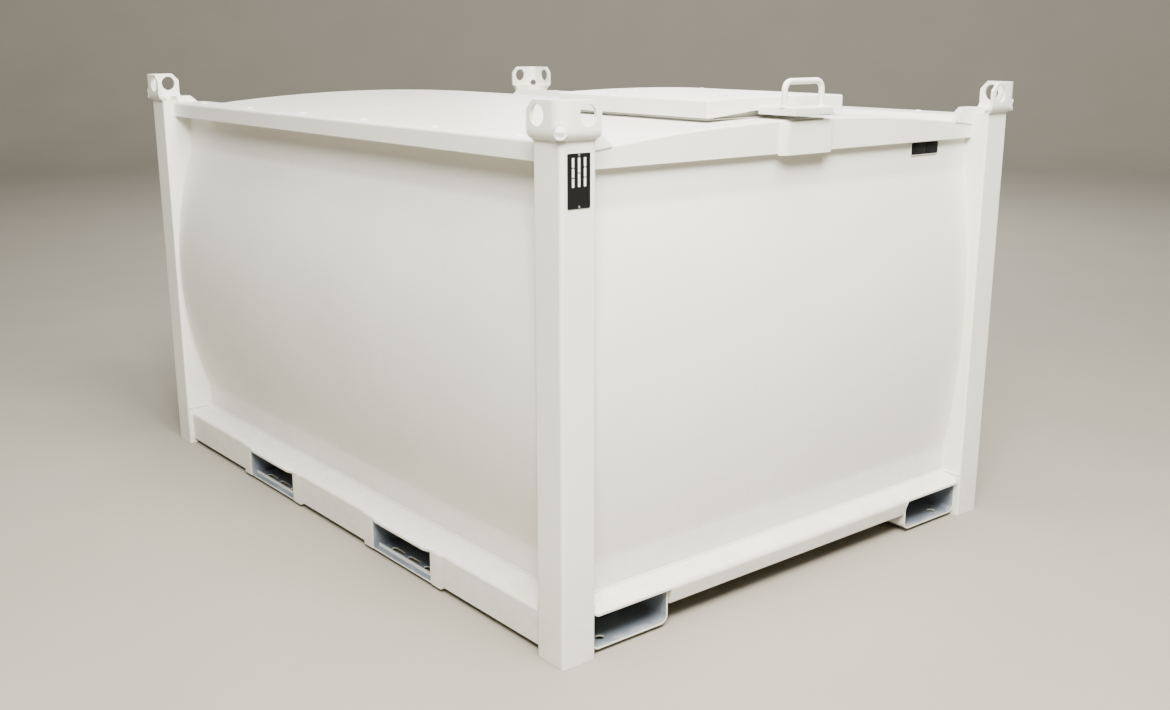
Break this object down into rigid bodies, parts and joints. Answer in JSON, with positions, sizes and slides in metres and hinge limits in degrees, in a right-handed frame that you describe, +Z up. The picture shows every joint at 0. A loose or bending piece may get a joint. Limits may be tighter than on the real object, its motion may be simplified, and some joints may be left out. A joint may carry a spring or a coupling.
{
  "type": "framed rectangular bunded fuel tank",
  "caption": "Rectangular double-skinned fuel tank in a corner-post frame, with bowed walls, a low barrel roof, fork pockets, lifting brackets and a hinged hatch lid.",
  "frame": {"origin": "centre of the rectangle of the four posts, on the ground", "axes": "+X along the tank towards the end with the lid's handle, +Y towards the rear long side, +Z up"},
  "size_m": [2.33, 1.69, 1.3457],
  "materials": {
    "white_paint": "satin",
    "black_plate": "satin",
    "black_rubber": "matte"
  },
  "bodies": {
    "tank": {"corner_post_front_right": "white_paint", "corner_post_rear_right": "white_paint", "corner_post_rear_left": "white_paint", "corner_post_front_left": "white_paint", "corner_cap_front_right": "white_paint", "corner_cap_rear_right": "white_paint", "corner_cap_rear_left": "white_paint", "corner_cap_front_left": "white_paint", "lifting_bracket_front_right": "white_paint", "lifting_bracket_rear_right": "white_paint", "lifting_bracket_rear_left": "white_paint", "lifting_bracket_front_left": "white_paint", "front_wall": "white_paint", "rear_wall": "white_paint", "right_end_wall": "white_paint", "left_end_wall": "white_paint", "front_top_rail": "white_paint", "rear_top_rail": "white_paint", "right_end_top_rail": "white_paint", "left_end_top_rail": "white_paint", "front_bottom_rail": "white_paint", "rear_bottom_rail": "white_paint", "right_end_bottom_rail": "white_paint", "left_end_bottom_rail": "white_paint", "front_long_fork_channel": "white_paint", "rear_long_fork_channel": "white_paint", "front_right_pocket_mouth": "white_paint", "front_left_pocket_mouth": "white_paint", "rear_right_pocket_mouth": "white_paint", "rear_left_pocket_mouth": "white_paint", "right_cross_fork_channel": "white_paint", "left_cross_fork_channel": "white_paint", "tank_floor": "white_paint", "roof_panel": "white_paint", "hatch_well": "white_paint", "front_hinge_base": "white_paint", "rear_hinge_base": "white_paint", "lock_guard": "white_paint", "data_plate": "black_plate", "port_trim": "black_rubber"},
    "lid": {"access_lid": "white_paint", "hasp_flap": "white_paint", "lift_handle": "white_paint", "front_hinge_leaf": "white_paint", "rear_hinge_leaf": "white_paint"}
  },
  "joints": [
    {"name": "lid_hinge", "type": "hinge", "parent": "tank", "child": "lid", "pos_m": [0.4, 0, 1.264], "axis": [0, -1, 0], "range_deg": [0, 95]}
  ]
}
